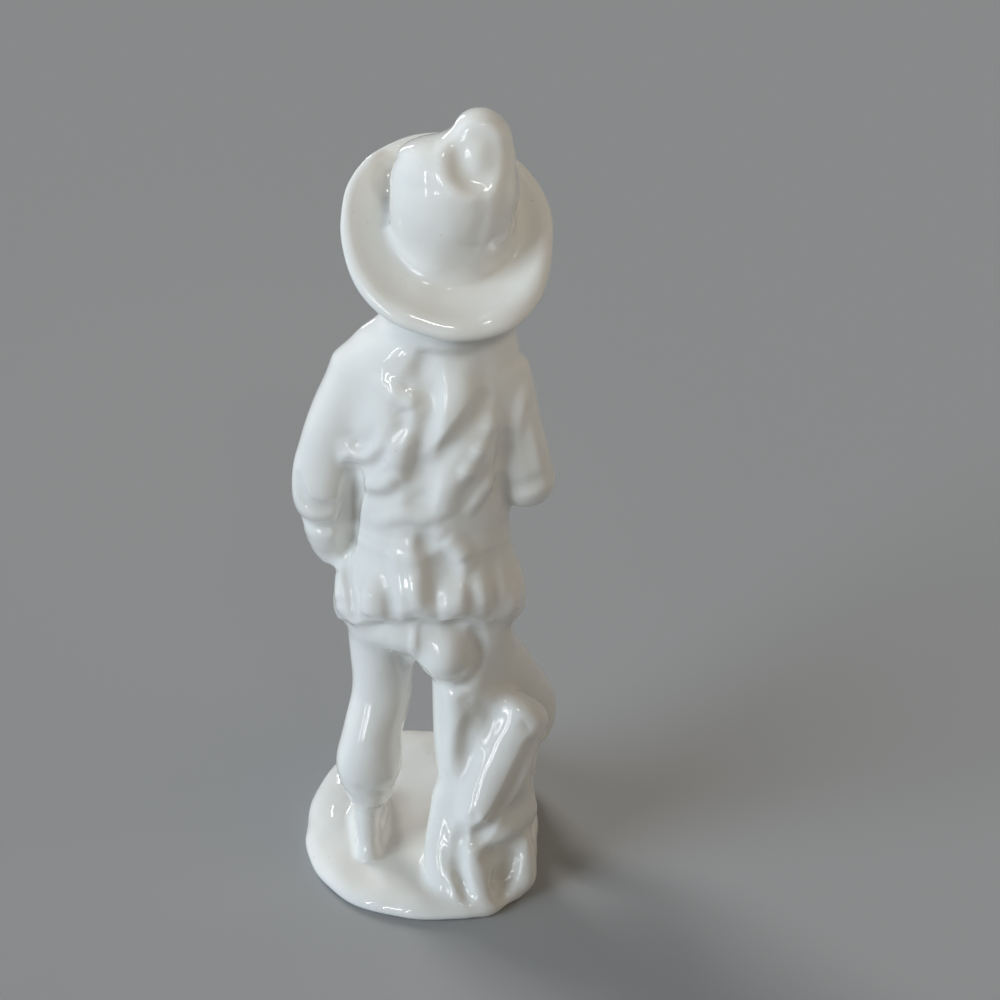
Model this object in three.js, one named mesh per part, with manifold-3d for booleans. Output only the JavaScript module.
// A nativity shepherd in white glazed earthenware: a slip-cast figure whose sections are cast hollow
// where they are thick, luted together with slip and glazed as one.
// Millimetres, +Z up. The figure faces -Y, and its left hand is at +X.
// Each section enters its neighbour as a plug enters a socket, and the slip between them is one seam wide.

import * as THREE from "three";
import { mergeVertices } from "three/addons/utils/BufferGeometryUtils.js";
import Module from "manifold-3d";

const wasm = await Module();
wasm.setup();

// Casting
const seam = 0.3; // slip between two sections
const wall = 4; // cast wall of the hollow sections
const socketDepth = 3; // how far a section enters the one that carries it

// Mound
const moundWidth = 66;
const moundDepth = 77.5;
const moundHeight = 9; // at the middle; the front stands higher and the back lower
const moundX = 4.7; // the mound lies to the left of the body's axis
const moundShear = -0.15; // the back edge swings to the right

// Heights, each measured up from the one before it
const shinLength = 16.5; // mound to the cuff of the left breeches
const breechesLength = 49.5; // cuff to the hem of the skirt
const skirtLength = 25; // hem to the waist
const vestLength = 56; // waist to the top of the vest
const headRise = 12; // top of the vest to the middle of the head
const rimRise = 14; // middle of the head to the middle of the hat's rim
const peakRise = 22.5; // rim to the last ring of the crown

// Left leg, straight
const leftFootX = 18.4;
const leftToeX = 18.6;
const leftFootY = 15.5;
const leftHipX = 14.4;
const leftHipY = 5;
const ankleRadius = 4.2;
const leftKneeRadius = 8.8;
const leftThighRadius = 8;

// Right leg, bent, with the knee turned out
const rightHipX = -10.5;
const rightHipY = 6;
const rightKneeX = -25;
const rightKneeY = -9;
const rightKneeZ = 38;
const rightFootX = -21;
const rightToeX = -16;
const rightFootY = -2;
const rightHipRadius = 10.5;
const rightKneeRadius = 8.4;

// Shoes
const shoeLength = 24;
const shoeHalfWidth = 4.8;
const shoeHalfHeight = 3.2;
const soleSink = 1; // how far the sole is set into the mound

// Seat of the breeches
const crotchX = 4.3;
const seatHalfWidth = 20;
const seatHalfDepth = 15.2;
const seatDrop = 9.5; // how far the seat hangs below the hem
const buttockX = -3.8;
const buttockY = 13.6;
const buttockRadius = 8.8;

// Torso
const torsoY = 3;
const waistHalfWidth = 19.6;
const waistHalfDepth = 14.3;
const hemHalfWidth = 25.4;
const hemHalfDepth = 18;
const hemLift = 9; // the hem is this much higher at the back than in front
const chestHalfWidth = 21.5;
const chestHalfDepth = 16;
const shoulderHalfWidth = 22;
const neckX = -3;
const neckRadius = 8;
const beltHeight = 6;
const beltProud = 0.5; // the belt stands out of the waist
const beltDepth = 1.6; // and is let into it
const collarRadius = 12.5;
const collarRoll = 3.2;
const panelRise = 1.4; // panel between the shoulder blades
const panelWidth = 8;
const furrowDepth = 2.1; // furrows beside it
const furrowWidth = 4.8;
const fleeceRise = 1.6; // ridges of the fleece
const fleeceWidth = 4.4;

// Left arm, hand on the hip
const leftShoulderX = 16;
const leftElbowX = 27.5;
const leftElbowDrop = 30.5; // shoulder to elbow
const leftForearm = 11.5; // elbow to cuff
const leftHandLength = 13;

// Right arm, hand on the chest
const rightShoulderX = -16.5;
const rightElbowX = -24.5;
const rightElbowDrop = 31.5;
const rightWristX = -14;
const rightWristY = -15.5;
const rightHandLength = 12;

// Both arms
const shoulderDrop = 12.5; // top of the vest to the shoulder
const shoulderY = 2.5;
const sleeveTopRadius = 8.4;
const elbowRadius = 7.1;
const leftElbowWidth = 8; // the left sleeve is full enough to close on the body
const wristRadius = 5.9;
const cuffProud = 0.9; // the cuff stands out of the sleeve
const cuffLength = 4.5;

// Head
const headX = -4.5;
const headY = -3.5;
const headHalfWidth = 12.5;
const headHalfDepth = 14;
const headHalfHeight = 16;
const headTilt = -0.25; // the face looks up a little
const hairThickness = 2.4;

// Hat, pushed to the back of the head
const hatX = -5;
const hatTilt = Math.PI / 4; // of the hat's axis towards the back
const rimRadius = 25.4;
const rimY = 2;
const brimThickness = 2.8;
const rimThickness = 4.8; // the rim is rolled
const brimDish = 4.5; // the rim stands this far towards the crown
const hatOpening = 12.5;
const brimTail = 0.24; // the brim is longer behind, where it lies on the shoulders
const brimFront = 0.94; // and shorter in front
const brimFlare = 0.3; // and wider there
const brimLean = -0.06; // and its tail swings to the right
const brimRoll = 0.13; // the right side hangs lower
const crownRadius = 15.2;
const crownCap = 14; // the crown is solid this far below its top
const crownOut = 4; // it bulges this far off the line from the rim to the peak
const crownDome = 2.4;
const crownShoulderRise = 10.5; // full left shoulder of the crown, above the rim
const crownShoulderHalfDepth = 11;
const crownShoulderHalfHeight = 9.5;
const peakX = -13.4;
const peakY = 7.8;
const peakRadius = 5.7;
const dentHalfWidth = 8.2;
const dentHalfHeight = 9.4;
const dentBehind = 12.6; // middle of the dent, behind the peak
const dentDrop = 3.2; // and below it
const swellBehind = 4.2; // swelling in the dent
const swellDrop = 4.8;
const swellHalfDepth = 3.8;

// Tree behind the right leg
const trunkX = -7;
const trunkY = 10.5;
const rootX = -12.5;
const rootY = 19.5;
const rootHalfWidth = 14;
const trunkRadius = 7.6;
const branchTipX = -24.3;
const branchTipY = 12.3;
const branchTipZ = 49.8;
const branchRadius = 7.4;
const branchFootX = -11.5; // the branch ends below in a knob
const branchFootY = 24;
const branchFootZ = 24.5;
const rootRadius = 4;
const hollowRight = 6.3; // hollow between two roots, beside the root's middle
const hollowBehind = 11;
const hollowRise = 2.5;
const hollowHalfDepth = 4.5;
const hollowHalfWidth = 3.2;
const hollowHalfHeight = 5.5;

// Landmarks that follow from the sizes
const cuffZ = moundTop(leftFootY) + shinLength;
const hemZ = cuffZ + breechesLength;
const waistZ = hemZ + skirtLength;
const vestTopZ = waistZ + vestLength;
const shoulderZ = vestTopZ - shoulderDrop;
const headZ = vestTopZ + headRise;
const rimZ = headZ + rimRise;
const peakZ = rimZ + peakRise;

const X = new THREE.Vector3(1, 0, 0);
const Z = new THREE.Vector3(0, 0, 1);

// Height of the mound's top on its middle line, at a place from front to back.
function moundTop(y) {
  return moundHeight * moundSwell(y);
}

// The mound is higher in front, where s is 1, than behind, where s is -1.
function moundSwell(y) {
  const s = (-2 * y) / moundDepth;
  return 1 + 0.52 * s + 0.26 * s * s;
}

// A smooth curve through a list of three-number points.
function curveThrough(points) {
  const knots = points.map((p) => new THREE.Vector3(...p));
  return new THREE.CatmullRomCurve3(knots, false, "catmullrom", 0.5);
}

// A closed skin through elliptical rings, each [x, y, z, across, deep]. The spine runs through the rings'
// middles; across lies along `side`, or along X on level rings. An end is flat, or domed by domes[end].
// grow swells the skin all round, and reach moves its two ends outwards, or inwards where it is negative.
function skin(rings, options, grow, reach) {
  const { side = X, level = false, around = 16, along = 10, domes = [0, 0], power = 2 } = options;
  const spine = curveThrough(rings.map((r) => r.slice(0, 3)));
  const radii = curveThrough(rings.map((r) => [r[3], r[4], 0]));
  const length = spine.getLength();
  const first = reach[0] < 0 ? spine.getUtoTmapping(-reach[0] / length) : 0;
  const last = reach[1] < 0 ? spine.getUtoTmapping(1 + reach[1] / length) : 1;
  const loops = [];
  const addLoop = (t, scale, shift) => {
    const tangent = level ? Z : spine.getTangent(t);
    const a = level ? X : side.clone().addScaledVector(tangent, -side.dot(tangent)).normalize();
    const b = new THREE.Vector3().crossVectors(tangent, a);
    const middle = spine.getPoint(t).addScaledVector(tangent, shift);
    const size = radii.getPoint(t);
    const loop = [];
    for (let j = 0; j < around; j++) {
      const angle = (2 * Math.PI * j) / around;
      const c = Math.sign(Math.cos(angle)) * Math.abs(Math.cos(angle)) ** (2 / power);
      const s = Math.sign(Math.sin(angle)) * Math.abs(Math.sin(angle)) ** (2 / power);
      const p = middle.clone();
      p.addScaledVector(a, scale * (size.x + grow) * c).addScaledVector(b, scale * (size.y + grow) * s);
      loop.push(p);
    }
    loops.push(loop);
    return middle;
  };
  const domeSteps = 3;
  const poles = [];
  const addEnd = (end, t, outward) => {
    const rise = domes[end] > 0 ? domes[end] + grow : Math.max(0, reach[end]);
    const tangent = level ? Z : spine.getTangent(t);
    poles[end] = spine.getPoint(t).addScaledVector(tangent, outward * rise);
    const steps = [];
    if (domes[end] > 0) {
      for (let k = 1; k < domeSteps; k++) {
        const lift = (Math.PI / 2) * (k / domeSteps);
        steps.push([Math.cos(lift), outward * rise * Math.sin(lift)]);
      }
    } else if (rise > 0) steps.push([1, outward * rise]);
    if (outward < 0) steps.reverse();
    steps.forEach(([scale, shift]) => addLoop(t, scale, shift));
  };
  addEnd(0, first, -1);
  for (let i = 0; i <= along; i++) addLoop(first + ((last - first) * i) / along, 1, 0);
  addEnd(1, last, 1);

  const points = [...loops.flat(), poles[0], poles[1]];
  if (options.warp) points.forEach(options.warp);
  if (options.relief && grow > -1) points.forEach(options.relief);
  const index = [];
  const at = (i, j) => i * around + (j % around);
  for (let i = 0; i + 1 < loops.length; i++) {
    for (let j = 0; j < around; j++) {
      index.push(at(i, j), at(i, j + 1), at(i + 1, j + 1), at(i, j), at(i + 1, j + 1), at(i + 1, j));
    }
  }
  const foot = loops.length * around;
  for (let j = 0; j < around; j++) {
    index.push(foot, at(0, j + 1), at(0, j));
    index.push(foot + 1, at(loops.length - 1, j), at(loops.length - 1, j + 1));
  }
  return new THREE.BufferGeometry().setFromPoints(points).setIndex(index);
}

// A three.js geometry as a solid that can be cut and joined.
function solidOf(geometry) {
  const bare = new THREE.BufferGeometry().setAttribute("position", geometry.getAttribute("position"));
  const merged = mergeVertices(bare.setIndex(geometry.index), 1e-4);
  const triVerts = new Uint32Array(merged.index.array);
  const vertProperties = merged.getAttribute("position").array;
  return new wasm.Manifold(new wasm.Mesh({ numProp: 3, vertProperties, triVerts }));
}

// A section's form, to be made at its own size, grown by a seam, or shrunk by a wall.
// The inside of a wall is plainer than its outside.
function form(rings, options = {}) {
  const inside = { ...options, around: 16, along: 5 };
  return (grow = 0, reach = [grow, grow]) => solidOf(skin(rings, grow < -1 ? inside : options, grow, reach));
}

// An ellipsoid with its own tilt about X, as a form.
function egg(x, y, z, halfWidth, halfDepth, halfHeight, tilt = 0) {
  return (grow = 0) => {
    const ball = new THREE.SphereGeometry(1, 18, 10).rotateX(Math.PI / 2);
    ball.scale(halfWidth + grow, halfDepth + grow, halfHeight + grow).rotateX(tilt).translate(x, y, z);
    return solidOf(ball);
  };
}

// A box between two corners, for cutting.
function block(low, high) {
  const size = high.map((h, i) => h - low[i]);
  const middle = high.map((h, i) => (h + low[i]) / 2);
  return solidOf(new THREE.BoxGeometry(...size).translate(...middle));
}

// What is left of a solid after its neighbours are cut out of it, without loose chips.
function trim(solid, ...cutters) {
  const left = cutters.reduce((rest, cutter) => rest.subtract(cutter), solid);
  return left.decompose().sort((a, b) => b.volume() - a.volume())[0];
}

// A number, or a point, part of the way from one to another.
const mix = (a, b, t) => a + (b - a) * t;
const mixPoint = (a, b, t) => a.map((value, i) => mix(value, b[i], t));
const ahead = (a, direction, distance) => a.map((value, i) => value + direction[i] * distance);
const heading = (a, b) => new THREE.Vector3(...b).sub(new THREE.Vector3(...a)).normalize().toArray();

// Mound: level rings from the foot rim to the top, with the back edge swung aside and the front raised.
const moundRing = (z, share) => [moundX, 0, z, (moundWidth / 2) * share, (moundDepth / 2) * share];
const moundForm = form(
  [
    moundRing(0, 0.97),
    moundRing(moundHeight * 0.25, 1),
    moundRing(moundHeight * 0.5, 0.99),
    moundRing(moundHeight * 0.78, 0.93),
    moundRing(moundHeight * 0.94, 0.76),
    moundRing(moundHeight, 0.4),
  ],
  {
    level: true,
    around: 28,
    along: 8,
    power: 2.3,
    warp: (p) => {
      p.x += (moundShear * Math.max(0, p.y) ** 2) / (moundDepth / 2);
      p.z *= moundSwell(p.y);
    },
  },
);

// Shoes, heel to toe, set into the mound.
function shoeForm(x, y, toeX) {
  const heelY = y + ankleRadius * 0.5;
  const toeY = heelY - shoeLength + ankleRadius;
  const ring = (t, halfWidth, halfHeight) => {
    const here = mix(heelY, toeY, t);
    const bend = mix(x, toeX, t * t);
    return [bend, here, moundTop(here) + halfHeight - soleSink, halfWidth, halfHeight];
  };
  const rings = [
    ring(0, ankleRadius * 0.8, shoeHalfHeight * 0.8),
    ring(0.35, shoeHalfWidth * 0.9, shoeHalfHeight),
    ring(0.7, shoeHalfWidth, shoeHalfHeight),
    ring(1, shoeHalfWidth * 0.8, shoeHalfHeight * 0.8),
  ];
  return form(rings, { domes: [ankleRadius * 0.7, shoeHalfWidth * 0.7], around: 14, along: 5 });
}
const leftShoeForm = shoeForm(leftFootX, leftFootY, leftToeX);
const rightShoeForm = shoeForm(rightFootX, rightFootY, rightToeX);

// Stockings, from inside the shoe to inside the cuff of the breeches.
const leftKneeY = mix(leftFootY, leftHipY, 0.2);
const leftStockingForm = form(
  [
    [leftFootX, leftFootY + 1.5, moundTop(leftFootY) + soleSink, ankleRadius * 0.85, ankleRadius * 0.85],
    [leftFootX, leftFootY, mix(moundTop(leftFootY), cuffZ, 0.6), ankleRadius, ankleRadius],
    [leftFootX, leftKneeY, cuffZ + socketDepth, ankleRadius, ankleRadius],
  ],
  { around: 14, along: 4 },
);
const rightCuffZ = rightKneeZ - rightKneeRadius;
const rightAnkle = [rightFootX, rightFootY, moundTop(rightFootY) + soleSink];
const rightCalf = [rightKneeX, mix(rightFootY, rightKneeY, 0.8), rightCuffZ + socketDepth];
const rightStockingForm = form(
  [
    [...rightAnkle, ankleRadius, ankleRadius],
    [...mixPoint(rightAnkle, rightCalf, 0.55), ankleRadius * 1.2, ankleRadius * 1.2],
    [...rightCalf, ankleRadius, ankleRadius],
  ],
  { around: 14, along: 4 },
);

// Breeches: two legs and a seat that they share, parted at the crotch.
const upLeftLeg = (t) => cuffZ + breechesLength * t;
const leftShank = [mix(leftFootX, leftHipX, 0.45), mix(leftKneeY, leftHipY, 0.35), upLeftLeg(0.34)];
const leftLegForm = form(
  [
    [leftFootX, leftKneeY + 0.5, cuffZ, leftKneeRadius * 0.72, leftKneeRadius * 0.72],
    [leftFootX, leftKneeY, upLeftLeg(0.15), leftKneeRadius, leftKneeRadius],
    [...leftShank, mix(leftKneeRadius, leftThighRadius, 0.6), leftKneeRadius],
    [leftHipX, mix(leftKneeY, leftHipY, 0.75), upLeftLeg(0.56), leftThighRadius, leftThighRadius * 1.05],
    [leftHipX, leftHipY, upLeftLeg(0.8), leftThighRadius, leftThighRadius * 1.15],
    [leftHipX, leftHipY, hemZ + socketDepth * 2, leftThighRadius * 1.1, leftThighRadius * 1.2],
  ],
  { domes: [2.2, 0], along: 11 },
);
const rightThigh = (x, y, z) => [
  mix(rightKneeX, rightHipX, x),
  mix(rightKneeY, rightHipY, y),
  mix(rightKneeZ, hemZ, z),
];
const rightLegForm = form(
  [
    [rightKneeX, rightKneeY + 1.5, rightCuffZ, rightKneeRadius * 0.78, rightKneeRadius * 0.78],
    [rightKneeX, rightKneeY, rightKneeZ, rightKneeRadius, rightKneeRadius],
    [...rightThigh(0.41, 0.45, 0.4), rightHipRadius * 0.86, rightHipRadius * 0.9],
    [...rightThigh(0.81, 0.85, 0.74), rightHipRadius * 0.86, rightHipRadius],
    [rightHipX, rightHipY, hemZ + socketDepth * 2, rightHipRadius * 0.95, rightHipRadius],
  ],
  { domes: [2.2, 0], along: 10 },
);
const seatX = (leftHipX + rightHipX) / 2;
const seatForm = egg(seatX, torsoY + 1.5, hemZ + 1, seatHalfWidth, seatHalfDepth, seatDrop);
const buttockZ = hemZ - buttockRadius * 0.45;
const buttockForm = egg(buttockX, buttockY, buttockZ, buttockRadius * 0.89, buttockRadius, buttockRadius);

// Everything above the plane in which the breeches end inside the skirt, which rises with the hem.
const farOut = 400;
function aboveHem(height) {
  const slab = new THREE.BoxGeometry(farOut, farOut, farOut).translate(0, 0, farOut / 2);
  const slope = Math.atan2(hemLift, 2 * hemHalfDepth);
  return solidOf(slab.rotateX(slope).translate(0, torsoY - hemHalfDepth, hemZ + height));
}
const sideOfCrotch = (low, high) => block([low, -farOut, -farOut], [high, farOut, farOut]);

// Skirt, belt and vest: level rings from the hem to the neck.
const hemToWaist = (t) => [mix(hemHalfWidth, waistHalfWidth, t), mix(hemHalfDepth, waistHalfDepth, t)];
const skirtForm = form(
  [
    [1, torsoY + 0.5, hemZ, hemHalfWidth - 0.8, hemHalfDepth - 0.8],
    [0.8, torsoY + 0.5, hemZ + skirtLength * 0.14, hemHalfWidth, hemHalfDepth],
    [0.4, torsoY + 0.3, hemZ + skirtLength * 0.4, ...hemToWaist(0.12)],
    [0.2, torsoY, hemZ + skirtLength * 0.72, ...hemToWaist(0.62)],
    [0, torsoY, waistZ - seam / 2, waistHalfWidth, waistHalfDepth],
  ],
  {
    level: true,
    around: 24,
    along: 7,
    warp: (p) => {
      const behind = (p.y - torsoY + hemHalfDepth) / (2 * hemHalfDepth);
      p.z += (hemLift * Math.max(0, behind) ** 3 * (waistZ - p.z)) / skirtLength;
    },
  },
);
const vestRing = (share, x, halfWidth, halfDepth) => {
  return [x, torsoY, mix(waistZ + seam / 2, vestTopZ, share), halfWidth, halfDepth];
};

// Folds on the back of the vest: a rise or depth, a width, and a path in shares of the chest and height.
const vestFolds = [
  [panelRise, panelWidth, [[-0.28, 0.92], [-0.3, 0.8], [-0.26, 0.65], [-0.14, 0.51]]],
  [panelRise * 0.7, panelWidth * 0.75, [[-0.46, 0.85], [-0.42, 0.76], [-0.28, 0.63]]],
  [-furrowDepth, furrowWidth, [[-0.02, 0.9], [-0.02, 0.76], [0.02, 0.62], [0.16, 0.44], [0.28, 0.36]]],
  [-furrowDepth, furrowWidth, [[-0.63, 0.73], [-0.44, 0.63], [-0.21, 0.52], [0.07, 0.41], [0.12, 0.26]]],
  [fleeceRise, fleeceWidth, [[-0.72, 0.62], [-0.6, 0.52], [-0.46, 0.43], [-0.28, 0.36], [-0.19, 0.25]]],
  [fleeceRise, fleeceWidth, [[0.86, 0.45], [0.74, 0.45], [0.58, 0.5], [0.51, 0.57]]],
  [fleeceRise, fleeceWidth, [[0.84, 0.31], [0.65, 0.31], [0.49, 0.34], [0.33, 0.37]]],
  [fleeceRise * 0.8, fleeceWidth, [[0.19, 0.59], [0.23, 0.5], [0.33, 0.4]]],
].map(([rise, width, path]) => {
  const knots = path.map(([x, share]) => [x * chestHalfWidth, 0, mix(waistZ, vestTopZ, share)]);
  return { rise, width, points: curveThrough(knots).getPoints(20) };
});
function vestRelief(p) {
  if (p.y < torsoY) return;
  const flat = new THREE.Vector3(p.x, 0, p.z);
  const out = new THREE.Vector3(p.x / chestHalfWidth, (p.y - torsoY) / chestHalfDepth, 0).normalize();
  for (const { rise, width, points } of vestFolds) {
    const distance = Math.min(...points.map((q) => q.distanceTo(flat)));
    const near = Math.max(0, 1 - (distance / width) ** 2);
    p.addScaledVector(out, rise * near * near);
  }
}
const vestForm = form(
  [
    vestRing(0, 0, waistHalfWidth, waistHalfDepth),
    vestRing(0.23, 0, mix(waistHalfWidth, chestHalfWidth, 0.6), mix(waistHalfDepth, chestHalfDepth, 0.6)),
    vestRing(0.46, 0, chestHalfWidth, chestHalfDepth),
    vestRing(0.68, -0.5, chestHalfWidth, chestHalfDepth),
    vestRing(0.85, -0.5, shoulderHalfWidth, chestHalfDepth * 0.86),
    vestRing(0.95, mix(0, neckX, 0.65), shoulderHalfWidth * 0.89, chestHalfDepth * 0.81),
    vestRing(1, neckX - 0.6, collarRadius * 1.4, collarRadius * 0.92),
  ],
  { level: true, around: 36, along: 18, relief: vestRelief },
);
const beltBand = (outset) => {
  const ring = (z, more) => {
    return [0, torsoY, waistZ + z, waistHalfWidth + outset + more, waistHalfDepth + outset + more];
  };
  const half = beltHeight / 2;
  return form([ring(-half, -0.4), ring(0, 0), ring(half, -0.4)], { level: true, around: 24, along: 2 });
};
const beltForm = (grow = 0) => beltBand(beltProud)(grow).subtract(beltBand(-beltDepth)(-grow, [1, 1]));

// Collar: a roll round the neck.
const collarForm = (grow = 0) => {
  const roll = new THREE.TorusGeometry(collarRadius, collarRoll + grow, 8, 22);
  return solidOf(roll.translate(neckX - 1, torsoY - 0.5, vestTopZ + 0.5));
};

// Arms. A cuff is wrapped round the end of each sleeve, and the hand enters the other side of the cuff.
const leftShoulder = [leftShoulderX, shoulderY, shoulderZ];
const leftElbow = [leftElbowX, shoulderY + 2, shoulderZ - leftElbowDrop];
const leftWrist = [leftElbowX - 0.8, shoulderY - 1.5, shoulderZ - leftElbowDrop - leftForearm];
const leftForearmMiddle = mixPoint(leftElbow, leftWrist, 0.55);
const upLeftArm = (t) => ahead(mixPoint(leftShoulder, leftElbow, t), [1, 0, 0], 1.3);
const sleeveSize = (t) => Array(2).fill(mix(sleeveTopRadius, elbowRadius, t));
const leftSleeveForm = form(
  [
    [...leftShoulder, sleeveTopRadius, sleeveTopRadius],
    [...upLeftArm(0.33), sleeveTopRadius, sleeveTopRadius],
    [...upLeftArm(0.67), leftElbowWidth, mix(sleeveTopRadius, elbowRadius, 0.6)],
    [...leftElbow, leftElbowWidth, elbowRadius],
    [...leftForearmMiddle, mix(leftElbowWidth, wristRadius, 0.4), mix(elbowRadius, wristRadius, 0.4)],
    [...leftWrist, wristRadius, wristRadius],
  ],
  { around: 16, along: 10, domes: [sleeveTopRadius * 0.5, 0] },
);
const rightShoulder = [rightShoulderX, shoulderY, shoulderZ];
const rightElbow = [rightElbowX, shoulderY + 1.5, shoulderZ - rightElbowDrop];
const rightWrist = [rightWristX, rightWristY, shoulderZ - rightElbowDrop + 5];
const rightUpperArmForm = form(
  [
    [...rightShoulder, sleeveTopRadius, sleeveTopRadius],
    [...mixPoint(rightShoulder, rightElbow, 0.4), ...sleeveSize(0.3)],
    [...rightElbow, elbowRadius, elbowRadius],
  ],
  { around: 14, along: 4, domes: [sleeveTopRadius * 0.5, elbowRadius * 0.9] },
);
const rightForearmMiddle = ahead(mixPoint(rightElbow, rightWrist, 0.5), [-1, 0, 0], 1.2);
const rightForearmForm = form(
  [
    [...rightElbow, elbowRadius * 0.96, elbowRadius * 0.96],
    [...rightForearmMiddle, ...Array(2).fill(mix(elbowRadius, wristRadius, 0.5))],
    [...rightWrist, wristRadius, wristRadius],
  ],
  { around: 16, along: 4, domes: [elbowRadius * 0.8, 0] },
);
const rightSleeveForm = (grow = 0) => rightUpperArmForm(grow).add(rightForearmForm(grow));

function cuffForm(wrist, direction) {
  const ring = (along, radius) => [...ahead(wrist, direction, along), radius, radius];
  const outer = wristRadius + cuffProud;
  const half = cuffLength / 2;
  return form([ring(-half, outer + 0.2), ring(0, outer), ring(half, outer - 0.5)], { around: 16, along: 2 });
}
const leftReach = heading(mixPoint(leftElbow, leftWrist, 0.4), leftWrist);
const leftCuffForm = cuffForm(leftWrist, leftReach);
const leftKnuckles = ahead(leftWrist, leftReach, leftHandLength * 0.8);
const leftHandForm = form(
  [
    [...ahead(leftWrist, leftReach, seam), wristRadius - cuffProud, wristRadius - cuffProud],
    [...ahead(leftWrist, leftReach, leftHandLength * 0.45), wristRadius, wristRadius * 0.85],
    [...ahead(leftKnuckles, [-1, 0, 0], 1), wristRadius * 0.88, wristRadius * 0.75],
  ],
  { around: 14, along: 4, domes: [0, leftHandLength * 0.2] },
);
const rightReach = heading(mixPoint(rightElbow, rightWrist, 0.4), rightWrist);
const rightCuffForm = cuffForm(rightWrist, rightReach);
const rightHandTurn = heading([0, 0, 0], [0.84, 0.0, 0.54]);
const rightHandForm = form(
  [
    [...ahead(rightWrist, rightReach, seam), wristRadius - cuffProud, wristRadius - cuffProud],
    [...ahead(rightWrist, rightHandTurn, rightHandLength * 0.5), wristRadius * 0.9, wristRadius * 0.7],
    [...ahead(rightWrist, rightHandTurn, rightHandLength), wristRadius * 0.75, wristRadius * 0.55],
  ],
  { side: Z, around: 16, along: 5, domes: [0, rightHandLength * 0.2] },
);

// Head: an egg with a nose, on a neck that enters the vest.
const skullForm = egg(headX, headY, headZ, headHalfWidth, headHalfDepth, headHalfHeight, headTilt);
const noseForm = egg(headX, headY - headHalfDepth + 0.2, headZ + 1.5, 1.9, 2.4, 3.2, headTilt);
const neckForm = form(
  [
    [neckX, torsoY - 0.5, vestTopZ - socketDepth * 3, neckRadius, neckRadius],
    [neckX, torsoY - 0.5, vestTopZ, neckRadius, neckRadius],
    [headX, mix(torsoY, headY, 0.6), headZ - headHalfHeight * 0.4, neckRadius, neckRadius],
  ],
  { level: true, around: 14, along: 3 },
);
const headForm = (grow = 0) => skullForm(grow).add(noseForm(grow)).add(neckForm(grow));

// Hat. The brim is a dished ring square to the hat's axis; the crown stands on it and rises to a soft peak.
const hatAxis = [0, Math.sin(hatTilt), Math.cos(hatTilt)];
const rimMiddle = [hatX, rimY, rimZ];
const brimMiddle = ahead(rimMiddle, hatAxis, -brimDish);
function brimForm(grow = 0) {
  const edge = rimRadius + grow;
  const inner = hatOpening - grow;
  const out = (r) => Math.max(0, (r - hatOpening) / (rimRadius - hatOpening));
  const dish = (r) => brimDish * out(r) ** 2;
  const half = (r) => mix(brimThickness, rimThickness, out(r)) / 2 + grow;
  const radii = [0, 0.3, 0.55, 0.75, 0.9].map((q) => mix(inner, edge, q));
  const under = radii.map((r) => [r, dish(r) - half(r)]);
  const over = radii.map((r) => [r, dish(r) + half(r)]).reverse();
  const rim = [-0.5, 0.4].map((q) => [edge, dish(rimRadius) + q * half(rimRadius)]);
  const outline = [...under, ...rim, ...over, under[0]].map(([r, h]) => new THREE.Vector2(r, h));
  const ring = new THREE.LatheGeometry(outline, 28).rotateX(Math.PI / 2);
  const place = ring.getAttribute("position");
  for (let i = 0; i < place.count; i++) {
    const behind = Math.max(0, place.getY(i)) ** 2 / rimRadius;
    place.setX(i, place.getX(i) * (1 + (brimFlare * behind) / rimRadius) + brimLean * behind);
    place.setY(i, place.getY(i) * (place.getY(i) < 0 ? brimFront : 1) + brimTail * behind);
    place.setZ(i, place.getZ(i) + Math.tan(brimRoll) * place.getX(i));
  }
  return solidOf(ring.rotateX(-hatTilt).translate(...brimMiddle));
}
const peak = [peakX, peakY, peakZ];
const crownRing = (share, outset, across, deep) => {
  const middle = ahead(mixPoint(rimMiddle, peak, share), hatAxis, outset);
  return [...middle, across * crownRadius, deep * crownRadius];
};
const crownShell = form(
  [
    [...ahead(brimMiddle, hatAxis, 0.5), crownRadius, crownRadius],
    crownRing(0.1, crownOut, 0.974, 0.88),
    crownRing(0.45, crownOut, 0.842, 0.75),
    crownRing(0.78, crownOut * 0.55, 0.605, 0.572),
    crownRing(1, 0, 0.42, 0.395),
  ],
  { around: 20, along: 8, domes: [0, crownDome] },
);

// A full left shoulder and a soft peak are added to the crown, and an oval dent with a swelling in it behind.
const shoulderForm = egg(
  hatX + 1,
  rimY + 1.5,
  rimZ + crownShoulderRise,
  crownRadius * 0.79,
  crownShoulderHalfDepth,
  crownShoulderHalfHeight,
);
const peakForm = egg(peakX - 1.6, peakY, peakZ - 1.9, peakRadius, peakRadius, peakRadius);
const dentForm = egg(
  peakX - 0.3,
  peakY + dentBehind,
  peakZ - dentDrop,
  dentHalfWidth,
  dentHalfWidth,
  dentHalfHeight,
);
const swellForm = egg(
  peakX + 0.6,
  peakY + swellBehind,
  peakZ - swellDrop,
  dentHalfWidth * 0.4,
  swellHalfDepth,
  dentHalfHeight * 0.5,
);
const crownForm = () => {
  const whole = crownShell().add(shoulderForm()).add(peakForm());
  return whole.subtract(dentForm()).add(swellForm());
};

// Everything on the crown's side of the brim's under face.
function hatSide() {
  const slab = new THREE.BoxGeometry(farOut, farOut, farOut);
  slab.translate(0, 0, farOut / 2 - brimThickness / 2 - seam);
  return solidOf(slab.rotateX(-hatTilt).translate(...brimMiddle));
}

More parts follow.
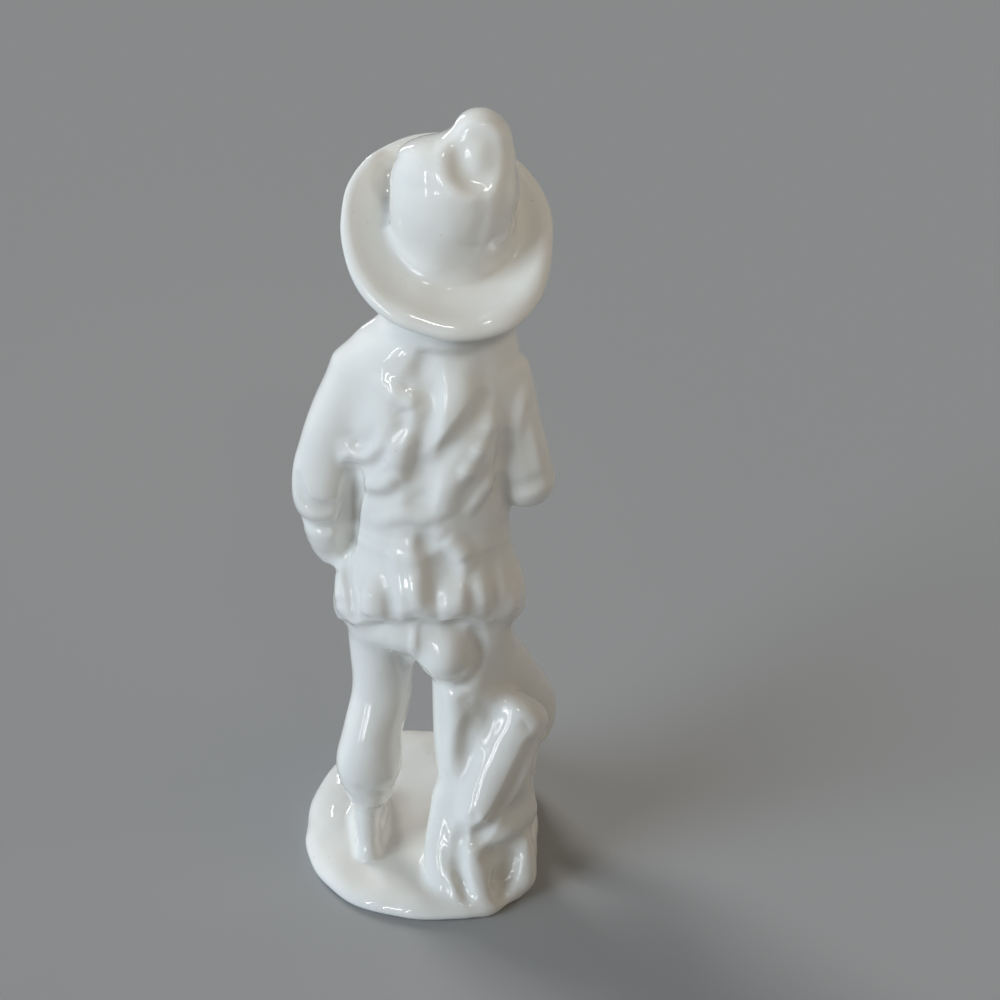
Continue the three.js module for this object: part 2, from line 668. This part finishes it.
// Tree: a trunk that flares at the root, and a sawn branch.
const trunkTop = hemZ - seatDrop * 0.5;
const rootZ = moundTop(rootY);
const trunkRing = (share, lean, slant, width, depth) => [
  mix(rootX, trunkX, lean),
  mix(rootY, trunkY, slant),
  mix(rootZ, trunkTop, share),
  mix(rootHalfWidth, trunkRadius, width),
  mix(rootHalfWidth * 0.8, trunkRadius, depth),
];
const stemForm = form(
  [
    [rootX, rootY, rootZ - soleSink * 2, rootHalfWidth, rootHalfWidth * 0.8],
    trunkRing(0.1, 0.1, 0.1, 0.35, 0.35),
    trunkRing(0.33, 0.55, 0.5, 0.65, 0.6),
    trunkRing(0.64, 0.73, 0.9, 0.77, 1),
    trunkRing(1, 1, 1, 1, 1),
  ],
  { level: true, around: 18, along: 7 },
);

// Roots run down over the mound, each through places beside the root's middle, with shares of its radius.
const rootForms = [
  [[8, -2, 17, 1.35], [9.5, 3, 6, 1.5], [8.5, 8, 1, 1.35], [5.5, 12.5, -2.5, 0.85]],
  [[3, 4, 14, 0.95], [2.5, 8, 7, 1], [1, 11, 1, 0.9], [-1, 13, -2.5, 0.65]],
  [[0.5, 2.5, 12, 1.1], [-5, 2, 11.5, 1.25], [-9.5, -2.5, 13, 1.05]],
  [[-9, 0, 7, 1], [-11.1, 3.5, 1.8, 0.88], [-11.1, 6.5, -2.2, 0.78], [-9, 8.5, -4.2, 0.55]],
].map((path) => {
  const rings = path.map(([x, y, z, share]) => {
    return [rootX + x, rootY + y, rootZ + z, rootRadius * share, rootRadius * share];
  });
  return form(rings, { around: 12, along: 5, domes: [rootRadius * 0.8, rootRadius * 0.6] });
});
const hollowForm = egg(
  rootX - hollowRight,
  rootY + hollowBehind,
  rootZ + hollowRise,
  hollowHalfWidth,
  hollowHalfDepth,
  hollowHalfHeight,
);
const trunkForm = (grow = 0) => {
  const wood = rootForms.reduce((whole, root) => whole.add(root(grow)), stemForm(grow));
  return wood.subtract(hollowForm(-grow)).subtract(moundForm(-socketDepth - grow, [1, -socketDepth - grow]));
};
const branchFoot = [branchFootX, branchFootY, branchFootZ];
const branchTip = [branchTipX, branchTipY, branchTipZ];
const branchRing = (share, sag, size) => {
  const middle = ahead(mixPoint(branchFoot, branchTip, share), [0, -1, 0], sag);
  return [...middle, branchRadius * size, branchRadius * size];
};
const branchForm = form(
  [branchRing(0, 0, 0.76), branchRing(0.27, 1.9, 1), branchRing(0.65, 1.5, 0.985), branchRing(1, 0, 0.865)],
  { around: 14, along: 6, domes: [branchRadius * 0.54, branchRadius * 0.54] },
);

// The legs as the other sections meet them.
const seat = (grow) => seatForm(grow).add(buttockForm(grow));
const breeches = (grow) => leftLegForm(grow).add(rightLegForm(grow)).add(seat(grow));
const rightOfCrotch = sideOfCrotch(-farOut, crotchX + seam / 2);
const leftOfCrotch = sideOfCrotch(crotchX - seam / 2, farOut);
const leftSeat = seatForm().intersect(sideOfCrotch(crotchX + seam / 2, farOut));
const rightSeat = seatForm().intersect(sideOfCrotch(-farOut, crotchX - seam / 2));
const leftHalf = leftLegForm().add(leftSeat);
const rightHalf = rightLegForm().add(buttockForm()).add(rightSeat);
const socketTop = aboveHem(socketDepth);
const breechesInSocket = breeches(seam).subtract(aboveHem(socketDepth + seam));

const sections = {
  base_mound: trim(
    moundForm(),
    moundForm(-wall - 2, [1, -wall]),
    trunkForm(seam),
    leftShoeForm(seam),
    rightShoeForm(seam),
  ),
  left_shoe: trim(leftShoeForm(), leftStockingForm(seam)),
  left_stocking: leftStockingForm(),
  left_breeches: trim(leftHalf, socketTop, leftStockingForm(seam), rightOfCrotch),
  right_shoe: trim(rightShoeForm(), rightStockingForm(seam)),
  right_stocking: rightStockingForm(),
  right_breeches: trim(rightHalf, socketTop, rightStockingForm(seam), leftOfCrotch),
  tree_trunk: trim(trunkForm(), breeches(seam), branchForm(seam)),
  branch_stub: trim(branchForm(), breeches(seam), rightStockingForm(seam)),
  tunic_skirt: trim(
    skirtForm(),
    skirtForm(-wall, [-(socketDepth + wall), 1]),
    breechesInSocket,
    beltForm(seam),
  ),
  belt: beltForm(),
  vest: trim(
    vestForm(),
    vestForm(-wall, [1, -wall]),
    beltForm(seam),
    leftSleeveForm(seam),
    rightSleeveForm(seam),
    headForm(seam),
    brimForm(seam),
  ),
  collar: trim(collarForm(), vestForm(seam), headForm(seam), brimForm(seam)),
  left_sleeve: leftSleeveForm(),
  left_cuff: trim(leftCuffForm(), leftSleeveForm(seam), leftHandForm(seam), vestForm(seam), skirtForm(seam)),
  left_hand: trim(leftHandForm(), leftSleeveForm(seam), skirtForm(seam), vestForm(seam)),
  right_sleeve: rightSleeveForm(),
  right_cuff: trim(rightCuffForm(), rightSleeveForm(seam), rightHandForm(seam), vestForm(seam)),
  right_hand: trim(rightHandForm(), rightSleeveForm(seam), vestForm(seam)),
  head: trim(headForm(), skullForm(-wall), neckForm(-wall, [1, 0])),
  hair: trim(
    skullForm(hairThickness),
    headForm(seam),
    block([-farOut, -farOut, -farOut], [farOut, headY - headHalfDepth * 0.35, farOut]),
    hatSide(),
    brimForm(seam),
    collarForm(seam),
    vestForm(seam),
  ),
  hat_brim: trim(brimForm(), headForm(seam)),
  hat_crown: trim(crownForm(), crownShell(-wall - 1, [1, -crownCap]), brimForm(seam), headForm(seam)),
};

// White glaze over all.
const glazeLook = { name: "white_glaze", color: 0xf1efe9, roughness: 0.12, metalness: 0 };
const glaze = new THREE.MeshStandardMaterial(glazeLook);

// A section's mesh, under its name.
function meshOf(name, solid) {
  const { vertProperties, triVerts } = solid.getMesh();
  const geometry = new THREE.BufferGeometry();
  geometry.setAttribute("position", new THREE.BufferAttribute(new Float32Array(vertProperties), 3));
  geometry.setIndex(new THREE.BufferAttribute(new Uint32Array(triVerts), 1));
  geometry.computeVertexNormals();
  const mesh = new THREE.Mesh(geometry, glaze);
  mesh.name = name;
  return mesh;
}

// The origin lies on the floor, under the middle of the whole.
const figure = new THREE.Group();
Object.entries(sections).forEach(([name, solid]) => figure.add(meshOf(name, solid)));
const box = new THREE.Box3().setFromObject(figure);
const middle = box.getCenter(new THREE.Vector3());
figure.children.forEach((mesh) => mesh.geometry.translate(-middle.x, -middle.y, -box.min.z));

export default figure;
